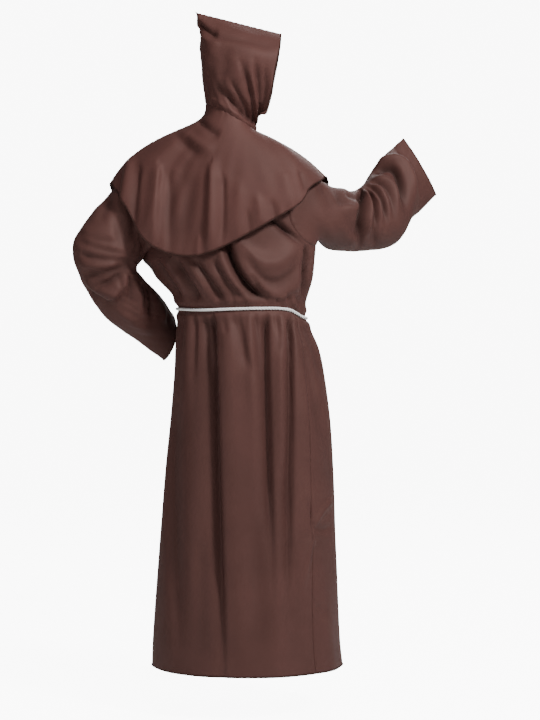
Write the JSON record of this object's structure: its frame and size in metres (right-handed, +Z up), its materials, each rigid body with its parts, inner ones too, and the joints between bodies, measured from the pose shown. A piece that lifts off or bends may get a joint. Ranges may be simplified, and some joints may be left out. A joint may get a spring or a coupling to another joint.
{
  "type": "monk costume",
  "caption": "Hooded monk robe, worn pose: ankle-length open hollow robe, wide sleeves, shoulder cape with pointed hood, and a cord belt tied at the waist.",
  "frame": {"origin": "Middle of the neck seam, at the base of the neck, where the cape and the shoulders of the robe hang from the wearer.", "axes": "+Z up, +Y the way the body of the garment faces, +X the wearer's right."},
  "size_m": [1.0019, 0.5994, 1.7463],
  "materials": {
    "robe_cloth": "mid brown satin-faced polyester",
    "cape_cloth": "mid brown satin-faced polyester",
    "belt_cord": "white twisted cord"
  },
  "bodies": {
    "root": {"robe_back": "robe_cloth", "robe_front": "robe_cloth", "sleeve_right": "robe_cloth", "sleeve_left": "robe_cloth", "cape_back": "cape_cloth", "cape_front": "cape_cloth", "hood_right": "cape_cloth", "hood_left": "cape_cloth", "belt": "belt_cord", "belt_knot": "belt_cord", "belt_tail_left": "belt_cord", "belt_tail_right": "belt_cord"}
  },
  "joints": []
}
